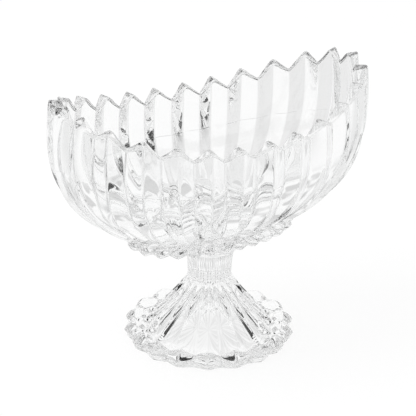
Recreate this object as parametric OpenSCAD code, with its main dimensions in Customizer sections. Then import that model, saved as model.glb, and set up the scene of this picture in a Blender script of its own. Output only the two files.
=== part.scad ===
// Footed oval glass bowl: a pleated, toothed bowl, a joining wafer and a hollow fluted pedestal

/* [Bowl] */
// Length of the bowl between its two end teeth
bowl_len = 260; // [220:1:300]
// Width of the bowl across its middle
bowl_wid = 144; // [130:0.5:180]
// Height of the rim above the table at the two ends
end_height = 213.5; // [205:0.5:230]
// Height of the rim above the table at the middle of the sides
side_height = 183.7; // [175:0.1:200]
// Number of teeth around the rim
teeth = 26; // [20:2:30]
// Depth of the notches between the teeth
notch_depth = 8.9; // [4:0.1:11]
// Thickness of the wall at a tooth
wall = 10.2; // [9.6:0.1:12]
// Depth of the pleats on the outside of the wall
outer_pleat = 7; // [4:0.1:7.5]
// Width of the ledge that runs round the smooth inside of the wall
ledge = 0.6; // [0.3:0.1:1.2]
// Thickness of the floor above the underside
floor_thick = 13; // [9:0.5:15]

/* [Bowl knuckles] */
// Half the height of a knuckle under the bowl
bowl_knuckle = 6.1; // [5:0.1:7]
// Undercut between the foot of the wall and the knuckles
undercut = 2.4; // [1:0.1:3.5]
// Height of the boss between the underside and the wafer
boss_height = 6.4; // [4:0.1:8]
// Radius of the boss where it meets the wafer
boss_radius = 18.9; // [16:0.1:19]

/* [Wafer] */
// Thickness of the joining wafer
wafer_thick = 5; // [3:0.1:5]
// Outer radius of the wafer, at its round edge
wafer_radius = 21.5; // [21.5:0.1:25]

/* [Pedestal] */
// Height of the pedestal
pedestal_height = 73; // [64:0.5:82]
// Outer radius of the foot over its knuckles
foot_radius = 67.4; // [58:0.1:76]
// Number of knuckles around the foot
knuckles = 18; // [14:1:22]
// Height of a foot knuckle
knuckle_height = 12.4; // [10:0.1:15]
// Width of a foot knuckle, from the skirt outwards
knuckle_width = 17; // [14:0.1:19]
// Radius of the skirt where it meets the knuckles
skirt_radius = 50.4; // [44:0.1:54]
// Height where the skirt meets the knuckles
skirt_height = 9; // [7:0.1:11]
// Radius of the stem at its neck
neck_radius = 17; // [14:0.1:18.5]
// Height of the neck
neck_level = 51; // [47:0.5:56]
// Radius at the top of the stem
stem_radius = 18.9; // [16:0.1:19]
// Depth of the flutes at the skirt
flute_depth = 3; // [1:0.1:3.4]
// Height of the hollow inside the pedestal
hollow_height = 38; // [28:0.5:42]
// Radius of the hollow at the base
hollow_radius = 41; // [34:0.1:44]

/* [Hidden] */
glass = [0.9, 0.93, 0.94, 0.5];

// Points along one tooth, and along one knuckle of the foot
tooth_points = 4;
knuckle_points = 6;
// Rings up the wall, inside it above and below the ledge, round a knuckle, up the skirt and stem,
// and down the hollow
wall_rings = 12;
upper_rings = 5;
lower_rings = 6;
knuckle_rings = 6;
skirt_rings = 8;
stem_rings = 3;
hollow_rings = 8;

// Squareness of the oval: 1 is a true ellipse
oval_power = 0.94;
// Bends of the wall, the skirt and the hollow: how fast each turns, and how slowly it starts
wall_bend = [3.88, 1];
skirt_bend = [1, 1.25];
hollow_bend = [1, 0.8];
// Powers of the zigzag's fade below the rim and of the belly's return to the rim
zigzag_fade = 4;
belly_return = 6;

// Sizes of the oval as shares of the rim: foot of the wall, knuckles, underside, belly and floor
foot_share = 0.58;
knuckle_share = 0.502;
underside_share = 0.36;
belly_share = 1.022;
floor_share = 0.545;
// Share of the pleats that is left at the foot of the wall
pleat_foot_share = 0.5;
// Share of the wall's height at which the ledge runs round its inside
ledge_share = 0.56;
// Share of a knuckle's size that is lost between two knuckles
gap_share = 0.42;
// Shares of the boss's height and radius where it spreads into the underside
spread_share = 0.8;
flare_share = 1.15;
// Share of a foot knuckle's size that is left where it stands on the table
base_share = 0.8;
// Share of a foot knuckle's height at which it is widest
middle_share = 0.4;

// Angles on a knuckle's section, from its lowest point to its highest
bowl_knuckle_from = -80;
bowl_knuckle_to = 62;
half_turn = 180;
full_turn = 360;

half_len = bowl_len / 2;
half_wid = bowl_wid / 2;
// Turn that spaces the teeth evenly along the oval
even_turn = (half_len - half_wid) / (half_len + half_wid) * half_turn / PI / 2;
rim_middle = (end_height + side_height) / 2;
rim_swing = (end_height - side_height) / 2;
boss_level = pedestal_height + wafer_thick;
underside = boss_level + boss_height;
ring_level = underside + bowl_knuckle;
wall_foot = ring_level + bowl_knuckle + undercut / 2;
floor_level = underside + floor_thick;
foot_middle = skirt_radius + knuckle_width / 2;
knuckle_middle = knuckle_height * middle_share;
knuckle_rise = knuckle_height - knuckle_middle;
overrun = knuckle_height;

// Share of the way from a tooth to the notch beside it: 0 at the tooth, 1 in the notch
function notch(p) = 1 - abs(2 * (p - floor(p)) - 1);

// Size of a round lobe that is whole at its middle and shrinks beside it
function lobe(p, lost) = 1 - lost * pow(notch(p), 2);

// Share of a wall's sweep reached at share w of its height
function sweep(w, bend) = pow(1 - pow(1 - w, bend[0]), bend[1]);

// Angle on the oval at tooth p, its point and its outward direction there
function turn(p) = full_turn * p / teeth + even_turn * sin(2 * full_turn * p / teeth);
function squared(v) = sign(v) * pow(abs(v), oval_power);
function oval(t, s) = [s * half_len * squared(cos(t)), s * half_wid * squared(sin(t))];
function outward(t) = let (v = [half_wid * cos(t), half_len * sin(t)]) v / norm(v);

// Ring of the bowl at an oval size s, with each point moved out and set at its own height
function bowl_point(p, s, out, z) =
    let (q = oval(turn(p), s) + out * outward(turn(p)))
    [q.x, q.y, z];

// Height of the rim over tooth p, and of the wall at share w above its start
function rim_height(p) = rim_middle + rim_swing * cos(2 * turn(p));
function wall_height(p, w, start) =
    start + (rim_height(p) - start) * w - notch_depth * notch(p) * pow(w, zigzag_fade);

// Oval size of the wall at share w, from the size at its start
function wall_size(w, from) =
    from + (belly_share - from) * sweep(w, wall_bend) - (belly_share - 1) * pow(w, belly_return);
function pleat(p, w) = outer_pleat * notch(p) * (pleat_foot_share + (1 - pleat_foot_share) * w);

function tooth_steps() = [for (k = [0 : teeth * tooth_points - 1]) k / tooth_points];
function knuckle_steps() = [for (k = [0 : knuckles * knuckle_points - 1]) k / knuckle_points];
function shares(count) = [for (k = [0 : count]) k / count];

// Rings of the bowl, from the boss up the outside and down the inside, past its ledge
function boss_ring(r, z) = [for (p = tooth_steps())
    [r * cos(turn(p)), r * sin(turn(p)), z]];
function underside_ring() = [for (p = tooth_steps())
    bowl_point(p, underside_share, 0, underside)];
function bowl_knuckle_ring(a) = [for (p = tooth_steps())
    let (size = bowl_knuckle * lobe(p, gap_share))
    bowl_point(p, knuckle_share, size * cos(a), ring_level + size * sin(a))];
function undercut_ring() = [for (p = tooth_steps())
    bowl_point(p, foot_share, -undercut - pleat(p, 0), wall_foot)];
function outside_ring(w) = [for (p = tooth_steps())
    bowl_point(p, wall_size(w, foot_share), -pleat(p, w), wall_height(p, w, wall_foot))];
function inside_ring(w, step) = [for (p = tooth_steps())
    bowl_point(p, wall_size(w, floor_share), -wall - step, wall_height(p, w, floor_level))];

// Ring of the pedestal at radius r, with each point scaled in by the flutes
function flute_ring(r, z) = [for (p = knuckle_steps())
    let (out = r * (1 - flute_depth / skirt_radius * (1 - pow(notch(p), 2))))
    pedestal_point(p, out, z)];
function pedestal_point(p, r, z) =
    [r * cos(full_turn * p / knuckles), r * sin(full_turn * p / knuckles), z];
function foot_knuckle_ring(a) = [for (p = knuckle_steps())
    let (size = lobe(p, gap_share))
    pedestal_point(p, foot_middle + (foot_radius - foot_middle) * size * cos(a),
        knuckle_middle + knuckle_rise * size * sin(a))];
function base_ring(z) = [for (p = knuckle_steps())
    pedestal_point(p, foot_middle + (foot_radius - foot_middle) * lobe(p, gap_share) * base_share, z)];
function hollow_ring(q) = [for (p = knuckle_steps())
    pedestal_point(p, hollow_radius * sweep(q, hollow_bend), hollow_height * (1 - q))];

// Closed solid through rings of equally many points, with its first and last ring filled in
module loft(rings) {
    n = len(rings[0]);
    last = len(rings) - 1;
    sides = [for (i = [0 : last - 1], j = [0 : n - 1], half = [0, 1])
        let (k = (j + 1) % n)
        half == 0
            ? [i * n + j, (i + 1) * n + j, (i + 1) * n + k]
            : [i * n + j, (i + 1) * n + k, i * n + k]];
    first_cap = [for (j = [0 : n - 1]) j];
    last_cap = [for (j = [n - 1 : -1 : 0]) last * n + j];
    polyhedron(
        points = [for (ring = rings, q = ring) q],
        faces = concat([first_cap], sides, [last_cap])
    );
}

// Oval bowl with its teeth, pleats, ring of knuckles and boss
module bowl() {
    color(glass)
        loft(concat(
            [boss_ring(boss_radius, boss_level)],
            [boss_ring(boss_radius * flare_share, boss_level + boss_height * spread_share)],
            [underside_ring()],
            [for (w = shares(knuckle_rings))
                bowl_knuckle_ring(bowl_knuckle_from + (bowl_knuckle_to - bowl_knuckle_from) * w)],
            [undercut_ring()],
            [for (w = shares(wall_rings)) outside_ring(w)],
            [for (w = shares(upper_rings)) inside_ring(1 - (1 - ledge_share) * w, 0)],
            [for (w = shares(lower_rings)) inside_ring(ledge_share * (1 - w), ledge)]
        ));
}

// Round wafer that joins the bowl's boss to the stem
module wafer() {
    color(glass)
        translate([0, 0, pedestal_height])
            rotate_extrude() {
                square([wafer_radius - wafer_thick / 2, wafer_thick]);
                translate([wafer_radius - wafer_thick / 2, wafer_thick / 2])
                    intersection() {
                        circle(d = wafer_thick);
                        translate([0, -wafer_thick / 2])
                            square([wafer_thick / 2, wafer_thick]);
                    }
            }
}

// Hollow pedestal with its fluted skirt and stem on a ring of knuckles, cut flat at the base
module pedestal() {
    color(glass)
        difference() {
            loft(concat(
                [for (w = [1 : hollow_rings]) hollow_ring(pow(w / hollow_rings, 2))],
                [base_ring(0)],
                [for (w = shares(knuckle_rings)) foot_knuckle_ring(half_turn * w)],
                [for (w = shares(skirt_rings))
                    flute_ring(neck_radius + (skirt_radius - neck_radius) * sweep(1 - w, skirt_bend),
                        skirt_height + (neck_level - skirt_height) * w)],
                [for (w = [1 : stem_rings])
                    flute_ring(neck_radius + (stem_radius - neck_radius) * w / stem_rings,
                        neck_level + (pedestal_height - neck_level) * w / stem_rings)]
            ));
            translate([-foot_radius, -foot_radius, -overrun])
                cube([2 * foot_radius, 2 * foot_radius, overrun]);
        }
}

bowl();
wafer();
pedestal();
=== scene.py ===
import math

import bpy
import numpy as np
from mathutils import Matrix, Vector


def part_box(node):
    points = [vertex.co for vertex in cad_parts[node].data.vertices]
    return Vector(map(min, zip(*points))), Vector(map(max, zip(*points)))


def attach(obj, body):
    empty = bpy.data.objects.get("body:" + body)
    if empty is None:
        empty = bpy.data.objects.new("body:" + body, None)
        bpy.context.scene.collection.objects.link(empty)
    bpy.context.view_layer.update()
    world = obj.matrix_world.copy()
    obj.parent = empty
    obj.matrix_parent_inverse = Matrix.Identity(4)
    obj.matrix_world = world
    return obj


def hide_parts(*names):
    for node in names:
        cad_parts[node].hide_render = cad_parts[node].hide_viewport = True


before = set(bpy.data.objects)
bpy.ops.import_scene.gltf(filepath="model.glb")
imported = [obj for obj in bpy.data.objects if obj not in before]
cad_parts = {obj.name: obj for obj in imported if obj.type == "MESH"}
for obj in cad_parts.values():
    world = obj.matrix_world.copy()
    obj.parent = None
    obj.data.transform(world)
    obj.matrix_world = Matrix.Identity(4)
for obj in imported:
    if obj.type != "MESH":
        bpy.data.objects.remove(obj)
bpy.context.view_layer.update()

# Sizes of the bowl, in metres
BOWL_LEN = 0.260
BOWL_WID = 0.144
END_HEIGHT = 0.2135
SIDE_HEIGHT = 0.1837
TEETH = 26
NOTCH_DEPTH = 0.0089
WALL = 0.0102
OUTER_PLEAT = 0.007
LEDGE = 0.0006
RIM_ROUND = 0.0014
FLOOR_THICK = 0.013
UNDERCUT = 0.0024
BOWL_KNUCKLE = 0.0061
BOSS_RADIUS = 0.0189
BOSS_HEIGHT = 0.0064

# Sizes of the wafer and the pedestal
WAFER_RADIUS = 0.0215
KNUCKLES = 18
FOOT_RADIUS = 0.0674
KNUCKLE_HEIGHT = 0.0124
KNUCKLE_WIDTH = 0.017
KNUCKLE_LIFT = 0.0002
SKIRT_RADIUS = 0.0504
SKIRT_HEIGHT = 0.009
NECK_RADIUS = 0.017
NECK_LEVEL = 0.051
STEM_RADIUS = 0.0189
FLUTE_DEPTH = 0.003
HOLLOW_HEIGHT = 0.038
HOLLOW_RADIUS = 0.041

# Curves: squareness of the oval, bends of the wall, skirt, hollow and stem, and powers of the fades
OVAL_POWER = 0.94
WALL_BEND = (3.88, 1.0)
SKIRT_BEND = (1.0, 1.25)
HOLLOW_BEND = (1.0, 0.8)
STEM_BEND = 1.5
ZIGZAG_FADE = 4
BELLY_RETURN = 6

# Sizes of the oval at the wall's foot, the knuckles, the belly and the floor, as shares of the rim's
FOOT_SHARE = 0.58
KNUCKLE_SHARE = 0.502
BELLY_SHARE = 1.0218
FLOOR_SHARE = 0.545
# Heights on the wall: the ledge, the edge on both sides of it, and where the rounded rim takes over
LEDGE_SHARE = 0.56
LEDGE_EDGE_SHARE = 0.002
RIM_START_SHARE = 0.985
# Depth of the pleats at the wall's foot, and spread of the boss where it meets the underside
PLEAT_FOOT_SHARE = 0.5
FLARE_SHARE = 0.2
# Knuckles: what they lose in the gaps, the reach of the flat base below them, and the height of their middle
GAP_SHARE = 0.5
BASE_SHARE = 0.8
MIDDLE_SHARE = 0.4
# The wafer's lower opening, as a share of the stem that it is fused to
WAFER_OPENING_SHARE = 0.955

# Ends of a bowl knuckle's section, in degrees
BOWL_SECTION = (-85, 66)
# Ends of a foot knuckle's section, as shares of the angle down to the table and of half a turn
SECTION_START_SHARE = 0.75
SECTION_END_SHARE = 0.93
# Powers that give the knuckles their pointed outline and the facets of their section
POINT_POWER = 1.15
FACET_POWER = 1.5
# Rounding of the pleats' ridges, the teeth's tips, the knuckles and the flutes, as shares of half a pitch
RIDGE_SOFT = 0.04
RIM_SOFT = 0.22
LOBE_SOFT = 0.04
FLUTE_SOFT = 0.03

# Points along one tooth, along one foot knuckle and round the wafer
TOOTH_POINTS = 24
KNUCKLE_POINTS = 24
WAFER_POINTS = 128
# How far the points draw together at ridges and notches, from 0, evenly, up to 1
CROWDING = 0.9
# Rings of points on each stretch of the bowl, from its boss to its floor
BOSS_STEPS = 9
UNDERSIDE_SHARES = (0.3, 0.6, 0.85)
BOWL_KNUCKLE_STEPS = 22
OUTSIDE_STEPS = 48
RIM_DEGREES = (0, 22, 45, 67, 90)
INSIDE_STEPS = 24
FLOOR_SHARES = (0.96, 0.02)
FLOOR_STEPS = 12
# Rings of points on the wafer's edge, and on the pedestal from its hollow to its stem
WAFER_STEPS = 17
HOLLOW_START_SHARE = 0.04
HOLLOW_STEPS = 30
BASE_SHARES = (0.35, 0.7, 1.0)
FOOT_KNUCKLE_STEPS = 26
SKIRT_STEPS = 48
STEM_START_SHARE = 0.08
STEM_STEPS = 14

# The glass: its index, two faint tints, waves from the mould, and roughness of its haziest spots
GLASS_IOR = 1.52
TINTS = ((0.975, 0.98, 0.98, 1), (0.995, 0.995, 0.995, 1))
WAVES = 0.003
WAVE_DISTANCE = 0.001
WAVE_SCALE = 30
HAZE = 0.004
HAZE_REACH = (0.35, 0.8)
HAZE_SCALE = 90
HAZE_DETAIL = 4
# Detail of the waves in the glass, and of the painted caustic streaks and painted patches of light on the
# floor
SOFT_DETAIL = 1

# The studio as the glass sees it, by angle and by height, from 0 at the horizon to 1 overhead
# Below the horizon, pale panels that shade into each other
PANELS = 4
PANEL_SHIFT = math.radians(-22.5)
PANEL_LEVELS = (0.84, 1.0)
PANEL_TOP = (-0.1, 0.0)
# A dark strip above the horizon, all round but straight ahead
STRIP_SIDES = (math.radians(40), math.radians(45))
STRIP_START = (0.08, 0.1)
STRIP_END = (0.3, 0.35)
# Upright dark gaps all round, which start at the horizon and end well above the strip
GAPS = 8
GAP_SHIFT = math.radians(22.5)
GAP_REACH = (0.55, 0.75)
GAP_START = (-0.1, 0.0)
GAP_END = (0.6, 0.8)
DARK_LEVEL = 0.0

# The floor, just below the foot
FLOOR_SIZE = 8
FLOOR_DROP = 0.0003
FLOOR_COLOUR = (0.95, 0.95, 0.95, 1)
# The floor as the glass sees it: painted shadow and painted caustic streaks inside the foot, and soft
# painted patches of light around it
# Painted shadow of the glass on the floor inside the foot, darker towards the middle
SHADE_REACH = (0.025, 0.045)
SHADE_LEVELS = (0.92, 1.0)
# Painted caustic streaks: bright and dark lines on the floor inside the foot that stand in for light focused
# by the flutes
PAINTED_CAUSTIC_SCALE = 8.0
PAINTED_CAUSTIC_REACH = (0.4, 0.6)
PAINTED_CAUSTIC_LEVEL = 0.86
PAINTED_CAUSTIC_END = (0.045, 0.055)
# Painted patches of light on the floor around the foot, out to where the studio takes over
PAINTED_LIGHT_PATCH_START = (0.085, 0.1)
PAINTED_LIGHT_PATCH_SCALE = 20.0
PAINTED_LIGHT_PATCH_REACH = (0.46, 0.54)
PAINTED_LIGHT_PATCH_LEVELS = (0.68, 1.0)
FLOOR_END = (0.25, 0.35)

# The light on the floor, and the share of its look that is plain white to the camera
WHITE = (1, 1, 1, 1)
WORLD_LIGHT = 0.9
LAMP_PLACE = (-0.9, 0.3, 1.5)
LAMP_SIZE = 0.8
LAMP_POWER = 12
WHITE_SHARE = 0.9

# The photograph's camera: turn, rise and roll of the view, distance, lens and sensor in millimetres, and aim
VIEW_TURN = math.radians(29.34)
VIEW_RISE = math.radians(24.82)
VIEW_ROLL = math.radians(0.76)
VIEW_DISTANCE = 1.4945
VIEW_LENS = 167.2
VIEW_SENSOR = 36
TARGET_HEIGHT = 0.1065
TARGET_LEFT = 0.00183
VIEW_RIGHT = (math.cos(VIEW_TURN), -math.sin(VIEW_TURN), 0)
VIEW_AHEAD = (math.sin(VIEW_TURN), math.cos(VIEW_TURN), 0)
# Bounces for light that crosses many walls of glass
GLASS_BOUNCES = 24
GLOSSY_BOUNCES = 12

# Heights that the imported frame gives, and those that follow from them
PEDESTAL_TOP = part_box("pedestal")[1].z
BOSS_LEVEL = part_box("bowl")[0].z
UNDERSIDE = BOSS_LEVEL + BOSS_HEIGHT
RING_LEVEL = UNDERSIDE + BOWL_KNUCKLE
WALL_FOOT = RING_LEVEL + BOWL_KNUCKLE + UNDERCUT / 2
FLOOR_LEVEL = UNDERSIDE + FLOOR_THICK

# Sizes that follow from the ones above
HALF_LEN = BOWL_LEN / 2
HALF_WID = BOWL_WID / 2
RIM_MIDDLE = (END_HEIGHT + SIDE_HEIGHT) / 2
RIM_SWING = (END_HEIGHT - SIDE_HEIGHT) / 2
EVEN_TURN = (HALF_LEN - HALF_WID) / (HALF_LEN + HALF_WID) / 2
FOOT_MIDDLE = SKIRT_RADIUS + KNUCKLE_WIDTH / 2
FOOT_REACH = FOOT_RADIUS - FOOT_MIDDLE
KNUCKLE_MIDDLE = KNUCKLE_HEIGHT * MIDDLE_SHARE
KNUCKLE_RISE = KNUCKLE_HEIGHT - KNUCKLE_MIDDLE


def crowded(count, points):
    """Places along a ring of pleats or knuckles, with more of them at the ridges and notches."""
    place = np.arange(count * points) / points
    return place - CROWDING * np.sin(4 * np.pi * place) / (4 * np.pi)


# Places round the bowl in teeth and round the foot in knuckles, with the oval's points and directions
tooth = crowded(TEETH, TOOTH_POINTS)
even = 2 * np.pi * tooth / TEETH
turn = even + EVEN_TURN * np.sin(2 * even)
oval = np.column_stack([
    HALF_LEN * np.sign(np.cos(turn)) * abs(np.cos(turn)) ** OVAL_POWER,
    HALF_WID * np.sign(np.sin(turn)) * abs(np.sin(turn)) ** OVAL_POWER,
])
outward = np.column_stack([HALF_WID * np.cos(turn), HALF_LEN * np.sin(turn)])
outward /= np.linalg.norm(outward, axis=1)[:, None]
rim_height = RIM_MIDDLE + RIM_SWING * np.cos(2 * turn)
knuckle = crowded(KNUCKLES, KNUCKLE_POINTS)
foot_turn = 2 * np.pi * knuckle / KNUCKLES


def notch(place, tip_soft, notch_soft):
    """Share of the way from a tooth, 0, to the notch beside it, 1, with both corners rounded."""
    share = 1 - abs(2 * (place % 1) - 1)
    near = np.minimum(share, 1 - share)
    soft = np.where(share < 0.5, tip_soft, notch_soft)
    part = (np.hypot(near, soft) - soft) / (np.hypot(0.5, soft) - soft) / 2
    return np.where(share < 0.5, part, 1 - part)


def lobe(place):
    """Size of a knuckle along its ring: whole at the ridge in its middle, less in the gaps."""
    return 1 - GAP_SHARE * notch(place, LOBE_SOFT, LOBE_SOFT) ** POINT_POWER


def faceted(value):
    """Sine or cosine on a knuckle's section, drawn in between the axes to give the section facets."""
    return math.copysign(abs(value) ** FACET_POWER, value)


def sweep(share, bend):
    """Share of a curve's width that is reached at a share of its height."""
    return (1 - (1 - share) ** bend[0]) ** bend[1]


def circle_ring(angles, radius, height):
    """Ring of points round the upright axis; radius and height may change along it."""
    flat = np.column_stack([np.cos(angles), np.sin(angles)]) * np.broadcast_to(radius, angles.shape)[:, None]
    return np.column_stack([flat, np.broadcast_to(height, angles.shape)])


def bowl_ring(size, out, height):
    """Ring of points on the oval at a size, moved out and set at a height; both may change along it."""
    out = np.broadcast_to(out, tooth.shape)
    return np.column_stack([oval * size + outward * out[:, None], np.broadcast_to(height, tooth.shape)])


def wall_size(share, start):
    """Size of the oval at a share of the wall's height: out to the belly, and a little back to the rim."""
    belly = start + (BELLY_SHARE - start) * sweep(share, WALL_BEND)
    return belly - (BELLY_SHARE - 1) * share ** BELLY_RETURN


def wall_height(share, start):
    """Height along a ring of the wall: level at its start, and more like the toothed rim further up."""
    zigzag = NOTCH_DEPTH * notch(tooth, RIM_SOFT, RIDGE_SOFT) * share ** ZIGZAG_FADE
    return start + (rim_height - start) * share - zigzag


def pleat(share):
    """Depth of the outside's pleats at a share of the wall's height."""
    depth_share = PLEAT_FOOT_SHARE + (1 - PLEAT_FOOT_SHARE) * share
    return OUTER_PLEAT * notch(tooth, RIDGE_SOFT, RIDGE_SOFT) * depth_share


def outside_ring(share):
    """Ring of the pleated outside."""
    return bowl_ring(wall_size(share, FOOT_SHARE), -pleat(share), wall_height(share, WALL_FOOT))


def inside_ring(share, step=0.0):
    """Ring of the smooth inside; a step sets it in below the narrow ledge."""
    return bowl_ring(wall_size(share, FLOOR_SHARE), -WALL - step, wall_height(share, FLOOR_LEVEL))


def rim_rings():
    """Rounded edge over the teeth, from the outside of the wall to its inside."""
    rings = []
    for start, end in ((outside_ring(1.0), inside_ring(1.0)), (inside_ring(1.0), outside_ring(1.0))):
        across = (end - start) / np.linalg.norm(end - start, axis=1)[:, None]
        corner = []
        for angle in np.radians(RIM_DEGREES):
            inward = across * (1 - math.cos(angle))
            lowered = np.array([0, 0, math.sin(angle) - 1])
            corner.append(start + (inward + lowered) * RIM_ROUND)
        rings.append(corner)
    return rings[0] + rings[1][::-1]


def boss_rings():
    """Boss that flares from the wafer into the underside."""
    rings = []
    for angle in np.linspace(0, math.pi / 2, BOSS_STEPS):
        radius = BOSS_RADIUS * (1 + FLARE_SHARE * (1 - math.cos(angle)))
        rings.append(circle_ring(turn, radius, BOSS_LEVEL + BOSS_HEIGHT * math.sin(angle)))
    return rings


def bowl_knuckle_rings():
    """Knuckles under the bowl, from the underside out and up towards the wall's foot."""
    size = BOWL_KNUCKLE * lobe(tooth)
    rings = []
    for angle in np.radians(np.linspace(*BOWL_SECTION, BOWL_KNUCKLE_STEPS)):
        out = size * faceted(math.cos(angle))
        rings.append(bowl_ring(KNUCKLE_SHARE, out, RING_LEVEL + size * faceted(math.sin(angle))))
    return rings


def floor_rings(edge):
    """Flat floor inside a ring."""
    return [edge * [share, share, 1] for share in np.linspace(*FLOOR_SHARES, FLOOR_STEPS)]


def bowl_rings():
    """The bowl from its boss up the outside, over the rim and down the inside, past the ledge."""
    above_ledge = np.linspace(RIM_START_SHARE, LEDGE_SHARE + LEDGE_EDGE_SHARE, INSIDE_STEPS)
    below_ledge = np.linspace(LEDGE_SHARE - LEDGE_EDGE_SHARE, 0, INSIDE_STEPS)
    rings = boss_rings()
    knuckles = bowl_knuckle_rings()
    rings += [rings[-1] + (knuckles[0] - rings[-1]) * share for share in UNDERSIDE_SHARES]
    rings += knuckles
    rings.append(bowl_ring(FOOT_SHARE, -UNDERCUT - pleat(0.0), WALL_FOOT))
    rings += [outside_ring(share) for share in np.linspace(0, RIM_START_SHARE, OUTSIDE_STEPS)]
    rings += rim_rings()
    rings += [inside_ring(share) for share in above_ledge]
    rings += [inside_ring(LEDGE_SHARE), inside_ring(LEDGE_SHARE, LEDGE)]
    rings += [inside_ring(share, LEDGE) for share in below_ledge]
    return rings + floor_rings(rings[-1])


def flute_ring(radius, height):
    """Ring of the skirt or stem, with hollow flutes between sharp ridges."""
    flute = FLUTE_DEPTH / SKIRT_RADIUS * (1 - notch(knuckle, FLUTE_SOFT, FLUTE_SOFT) ** 2)
    return circle_ring(foot_turn, radius * (1 - flute), height)


def foot_knuckle_rings():
    """Knuckles round the foot, kept just off the table, from the base out, over and in to the skirt."""
    size = lobe(knuckle)
    start = math.asin(-KNUCKLE_MIDDLE / KNUCKLE_RISE) * SECTION_START_SHARE
    rings = []
    for angle in np.linspace(start, math.pi * SECTION_END_SHARE, FOOT_KNUCKLE_STEPS):
        radius = FOOT_MIDDLE + FOOT_REACH * size * faceted(math.cos(angle))
        height = KNUCKLE_MIDDLE + KNUCKLE_RISE * size * faceted(math.sin(angle))
        rings.append(circle_ring(foot_turn, radius, np.maximum(height, KNUCKLE_LIFT)))
    return rings


def pedestal_rings():
    """The pedestal from the top of its hollow, under the foot and up the skirt and stem."""
    rings = []
    for share in np.linspace(HOLLOW_START_SHARE, 1, HOLLOW_STEPS) ** 2:
        radius = HOLLOW_RADIUS * sweep(share, HOLLOW_BEND)
        rings.append(circle_ring(foot_turn, radius, HOLLOW_HEIGHT * (1 - share)))
    base = FOOT_MIDDLE + FOOT_REACH * lobe(knuckle) * BASE_SHARE
    for share in BASE_SHARES:
        rings.append(circle_ring(foot_turn, HOLLOW_RADIUS + (base - HOLLOW_RADIUS) * share, 0))
    rings += foot_knuckle_rings()
    for share in np.linspace(0, 1, SKIRT_STEPS):
        radius = NECK_RADIUS + (SKIRT_RADIUS - NECK_RADIUS) * sweep(1 - share, SKIRT_BEND)
        rings.append(flute_ring(radius, SKIRT_HEIGHT + (NECK_LEVEL - SKIRT_HEIGHT) * share))
    for share in np.linspace(STEM_START_SHARE, 1, STEM_STEPS):
        radius = NECK_RADIUS + (STEM_RADIUS - NECK_RADIUS) * share ** STEM_BEND
        rings.append(flute_ring(radius, NECK_LEVEL + (PEDESTAL_TOP - NECK_LEVEL) * share))
    return rings


def wafer_rings():
    """The wafer's round edge; its faces are left open, where the glass is fused."""
    edge = (BOSS_LEVEL - PEDESTAL_TOP) / 2
    middle = (BOSS_LEVEL + PEDESTAL_TOP) / 2
    angles = np.linspace(0, 2 * np.pi, WAFER_POINTS, endpoint=False)
    rings = [circle_ring(angles, STEM_RADIUS * WAFER_OPENING_SHARE, PEDESTAL_TOP)]
    for bend in np.linspace(-math.pi / 2, math.pi / 2, WAFER_STEPS):
        radius = WAFER_RADIUS - edge + edge * math.cos(bend)
        rings.append(circle_ring(angles, radius, middle + edge * math.sin(bend)))
    rings.append(circle_ring(angles, BOSS_RADIUS, BOSS_LEVEL))
    return rings


def skin(name, rings, fill_first=False, fill_last=False):
    """Smooth mesh through rings of equally many points, with its first and last ring closed on request."""
    count = len(rings[0])
    points = np.concatenate(rings)
    step = np.arange(count)
    following = (step + 1) % count
    faces = []
    for low in range(0, len(points) - count, count):
        high = low + count
        faces += np.column_stack([low + step, low + following, high + following, high + step]).tolist()
    if fill_first:
        faces.append(step[::-1].tolist())
    if fill_last:
        faces.append((len(points) - count + step).tolist())
    mesh = bpy.data.meshes.new(name)
    mesh.from_pydata(points.tolist(), [], faces)
    mesh.polygons.foreach_set("use_smooth", [True] * len(mesh.polygons))
    mesh.update()
    piece = bpy.data.objects.new(name, mesh)
    bpy.context.scene.collection.objects.link(piece)
    return piece


def set_input(tree, socket, value):
    """Links a socket, or sets a number on it."""
    if isinstance(value, (int, float)):
        socket.default_value = value
    else:
        tree.links.new(value, socket)


def math_node(tree, operation, first, second=0.0):
    """Result of an operation on numbers or sockets."""
    node = tree.nodes.new("ShaderNodeMath")
    node.operation = operation
    set_input(tree, node.inputs[0], first)
    set_input(tree, node.inputs[1], second)
    return node.outputs[0]


def vector_node(tree, operation, vector, output):
    """One output of an operation on a vector."""
    node = tree.nodes.new("ShaderNodeVectorMath")
    node.operation = operation
    tree.links.new(vector, node.inputs[0])
    return node.outputs[output]


def along(tree, vector, direction):
    """Length of a vector along a fixed direction."""
    output = vector_node(tree, "DOT_PRODUCT", vector, "Value")
    output.node.inputs[1].default_value = direction
    return output


def remap(tree, value, reach, levels, kind="SMOOTHSTEP"):
    """Goes from one level to another as a value crosses its reach; a level may be a socket."""
    node = tree.nodes.new("ShaderNodeMapRange")
    node.interpolation_type = kind
    tree.links.new(value, node.inputs["Value"])
    for name, number in zip(("From Min", "From Max", "To Min", "To Max"), reach + levels):
        set_input(tree, node.inputs[name], number)
    return node.outputs["Result"]


def noise(tree, vector, scale, detail):
    """Soft random pattern between 0 and 1."""
    node = tree.nodes.new("ShaderNodeTexNoise")
    node.inputs["Scale"].default_value = scale
    node.inputs["Detail"].default_value = detail
    tree.links.new(vector, node.inputs["Vector"])
    return node.outputs["Fac"]


def blend(tree, share, first, second):
    """Mix of two shaders, with a share of the second."""
    node = tree.nodes.new("ShaderNodeMixShader")
    set_input(tree, node.inputs["Fac"], share)
    tree.links.new(first, node.inputs[1])
    tree.links.new(second, node.inputs[2])
    return node.outputs[0]


def glow(tree, kind, strength):
    """White Background or Emission of a strength."""
    node = tree.nodes.new(kind)
    node.inputs["Color"].default_value = WHITE
    set_input(tree, node.inputs["Strength"], strength)
    return node.outputs[0]


def ray_kinds(tree):
    """Shares that are 1 on rays from the camera, and on rays that come out of the glass."""
    path = tree.nodes.new("ShaderNodeLightPath").outputs
    from_glass = math_node(tree, "MAXIMUM", path["Is Glossy Ray"], path["Is Transmission Ray"])
    return path["Is Camera Ray"], from_glass


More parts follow.
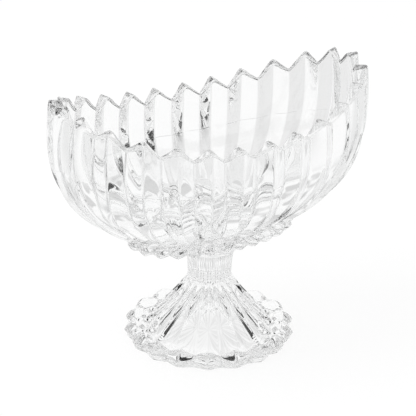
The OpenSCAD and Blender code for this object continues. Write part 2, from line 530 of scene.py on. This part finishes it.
def clear_glass():
    """Clear pressed glass: faint waves from the mould, a little haze, and almost no tint."""
    material = bpy.data.materials.new("clear_glass")
    material.use_nodes = True
    tree = material.node_tree
    shader = tree.nodes["Principled BSDF"]
    shader.inputs["Transmission Weight"].default_value = 1.0
    shader.inputs["IOR"].default_value = GLASS_IOR
    place = tree.nodes.new("ShaderNodeTexCoord").outputs["Object"]

    bump = tree.nodes.new("ShaderNodeBump")
    bump.inputs["Strength"].default_value = WAVES
    bump.inputs["Distance"].default_value = WAVE_DISTANCE
    tree.links.new(noise(tree, place, WAVE_SCALE, SOFT_DETAIL), bump.inputs["Height"])
    tree.links.new(bump.outputs["Normal"], shader.inputs["Normal"])

    cloud = noise(tree, place, HAZE_SCALE, HAZE_DETAIL)
    tree.links.new(remap(tree, cloud, HAZE_REACH, (0.0, HAZE), "LINEAR"), shader.inputs["Roughness"])
    tint = tree.nodes.new("ShaderNodeMix")
    tint.data_type = "RGBA"
    tint.inputs["A"].default_value = TINTS[0]
    tint.inputs["B"].default_value = TINTS[1]
    tree.links.new(cloud, tint.inputs["Factor"])
    tree.links.new(tint.outputs["Result"], shader.inputs["Base Color"])
    return material


def build_glass():
    """The three pieces, open where they are fused, each in place of its solid."""
    pieces = {
        "bowl": skin("bowl_glass", bowl_rings(), fill_last=True),
        "wafer": skin("wafer_glass", wafer_rings()),
        "pedestal": skin("pedestal_glass", pedestal_rings(), fill_first=True),
    }
    glass = clear_glass()
    for node, piece in pieces.items():
        piece.data.materials.append(glass)
        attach(piece, "root")
        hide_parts(node)


def view_angle(tree, vector):
    """Angle of a vector round the upright axis, from 0 straight ahead in the photograph to half a turn."""
    return math_node(tree, "ARCTAN2", along(tree, vector, VIEW_RIGHT), along(tree, vector, VIEW_AHEAD))


def wave(tree, angle, count, shift):
    """Cosine with a count of waves in a turn and a crest at a shift."""
    shifted = math_node(tree, "SUBTRACT", angle, shift)
    return math_node(tree, "COSINE", math_node(tree, "MULTIPLY", shifted, count))


def between(tree, value, start, end):
    """Share that rises over one reach and falls over another."""
    rise = remap(tree, value, start, (0.0, 1.0))
    return math_node(tree, "MULTIPLY", rise, remap(tree, value, end, (1.0, 0.0)))


def darken(tree, level, first, second):
    """Level made dark where both shares are 1."""
    share = math_node(tree, "MULTIPLY", first, second)
    return math_node(tree, "MULTIPLY", level, remap(tree, share, (0.0, 1.0), (1.0, DARK_LEVEL)))


def studio_level(tree):
    """Brightness of the studio that the glass sees, by direction."""
    view = tree.nodes.new("ShaderNodeTexCoord").outputs["Generated"]
    height = along(tree, view, (0, 0, 1))
    angle = view_angle(tree, view)
    panels = remap(tree, wave(tree, angle, PANELS, PANEL_SHIFT), (-1.0, 1.0), PANEL_LEVELS)
    level = remap(tree, height, PANEL_TOP, (panels, 1.0))
    sides = remap(tree, math_node(tree, "ABSOLUTE", angle), STRIP_SIDES, (0.0, 1.0))
    level = darken(tree, level, sides, between(tree, height, STRIP_START, STRIP_END))
    gaps = remap(tree, wave(tree, angle, GAPS, GAP_SHIFT), GAP_REACH, (0.0, 1.0))
    return darken(tree, level, gaps, between(tree, height, GAP_START, GAP_END))


def studio_world():
    """White to the camera, the studio to the glass, and plain light to all else."""
    world = bpy.data.worlds.new("studio")
    bpy.context.scene.world = world
    world.use_nodes = True
    tree = world.node_tree
    camera, from_glass = ray_kinds(tree)
    light = glow(tree, "ShaderNodeBackground", WORLD_LIGHT)
    studio = glow(tree, "ShaderNodeBackground", studio_level(tree))
    white = glow(tree, "ShaderNodeBackground", 1.0)
    lit = blend(tree, from_glass, light, studio)
    tree.links.new(blend(tree, camera, lit, white), tree.nodes["World Output"].inputs["Surface"])


def floor_level(tree, radius, place):
    """Brightness of the floor that the glass sees, by place: painted shadow and painted caustic streaks
    inside the foot, and painted patches of light around it.
    """
    # Painted patches of light around the foot
    painted_light_patches = remap(tree, noise(tree, place, PAINTED_LIGHT_PATCH_SCALE, SOFT_DETAIL), PAINTED_LIGHT_PATCH_REACH, PAINTED_LIGHT_PATCH_LEVELS)
    # Painted shadow under the foot
    shade = remap(tree, radius, SHADE_REACH, SHADE_LEVELS)
    level = remap(tree, radius, PAINTED_LIGHT_PATCH_START, (shade, painted_light_patches))
    # Painted caustic streaks inside the foot, by direction from the middle
    direction = vector_node(tree, "NORMALIZE", place, "Vector")
    painted_caustic_noise = noise(tree, direction, PAINTED_CAUSTIC_SCALE, SOFT_DETAIL)
    painted_caustic_lines = remap(tree, painted_caustic_noise, PAINTED_CAUSTIC_REACH, (PAINTED_CAUSTIC_LEVEL, 1.0))
    return math_node(tree, "MULTIPLY", level, remap(tree, radius, PAINTED_CAUSTIC_END, (painted_caustic_lines, 1.0)))


def floor_white():
    """White to the camera, with the object's shadow; the glass sees painted shadow, caustic streaks and
    patches of light near the foot, then the studio.
    """
    material = bpy.data.materials.new("floor_white")
    material.use_nodes = True
    tree = material.node_tree
    matt = tree.nodes["Principled BSDF"]
    matt.inputs["Base Color"].default_value = FLOOR_COLOUR
    matt.inputs["Roughness"].default_value = 1.0
    matt.inputs["Specular IOR Level"].default_value = 0.0
    camera, from_glass = ray_kinds(tree)
    place = tree.nodes.new("ShaderNodeNewGeometry").outputs["Position"]
    radius = vector_node(tree, "LENGTH", place, "Value")
    # Emission with the painted shadow, caustic streaks and patches of light, shown to the glass only
    near = glow(tree, "ShaderNodeEmission", floor_level(tree, radius, place))
    open_floor = tree.nodes.new("ShaderNodeBsdfTransparent").outputs[0]
    seen = blend(tree, remap(tree, radius, FLOOR_END, (0.0, 1.0)), near, open_floor)
    white = glow(tree, "ShaderNodeEmission", 1.0)
    shown = blend(tree, math_node(tree, "MULTIPLY", camera, WHITE_SHARE), matt.outputs[0], white)
    tree.links.new(blend(tree, from_glass, shown, seen), tree.nodes["Material Output"].inputs["Surface"])
    return material


def build_floor():
    """Floor just below the foot, apart from the object."""
    bpy.ops.mesh.primitive_plane_add(size=FLOOR_SIZE, location=(0, 0, -FLOOR_DROP))
    floor = bpy.context.object
    floor.name = "floor"
    floor.data.materials.append(floor_white())


def key_lamp():
    """Soft lamp for the shadow on the floor; the glass sees the studio in its place."""
    data = bpy.data.lights.new("key_light", "AREA")
    data.size = LAMP_SIZE
    data.energy = LAMP_POWER
    lamp = bpy.data.objects.new("key_light", data)
    lamp.location = LAMP_PLACE
    lamp.rotation_euler = (-Vector(LAMP_PLACE)).to_track_quat("-Z", "Y").to_euler()
    lamp.visible_glossy = False
    lamp.visible_transmission = False
    bpy.context.scene.collection.objects.link(lamp)


def photo_camera():
    """Camera at the photograph's viewing angle, with its slight roll."""
    data = bpy.data.cameras.new("photo_camera")
    data.lens = VIEW_LENS
    data.sensor_width = VIEW_SENSOR
    camera = bpy.data.objects.new("photo_camera", data)
    bpy.context.scene.collection.objects.link(camera)
    level = Vector(VIEW_RIGHT)
    back = Vector((0, 0, math.sin(VIEW_RISE))) - Vector(VIEW_AHEAD) * math.cos(VIEW_RISE)
    upright = back.cross(level)
    right = level * math.cos(VIEW_ROLL) + upright * math.sin(VIEW_ROLL)
    up = upright * math.cos(VIEW_ROLL) - level * math.sin(VIEW_ROLL)
    place = Vector((0, 0, TARGET_HEIGHT)) - level * TARGET_LEFT + back * VIEW_DISTANCE
    camera.matrix_world = Matrix.Translation(place) @ Matrix((right, up, back)).transposed().to_4x4()
    bpy.context.scene.camera = camera


def set_look():
    """Plain view of the colours, and enough bounces for the glass."""
    scene = bpy.context.scene
    scene.view_settings.view_transform = "Standard"
    scene.cycles.max_bounces = GLASS_BOUNCES
    scene.cycles.transmission_bounces = GLASS_BOUNCES
    scene.cycles.glossy_bounces = GLOSSY_BOUNCES


build_glass()
studio_world()
build_floor()
key_lamp()
photo_camera()
set_look()
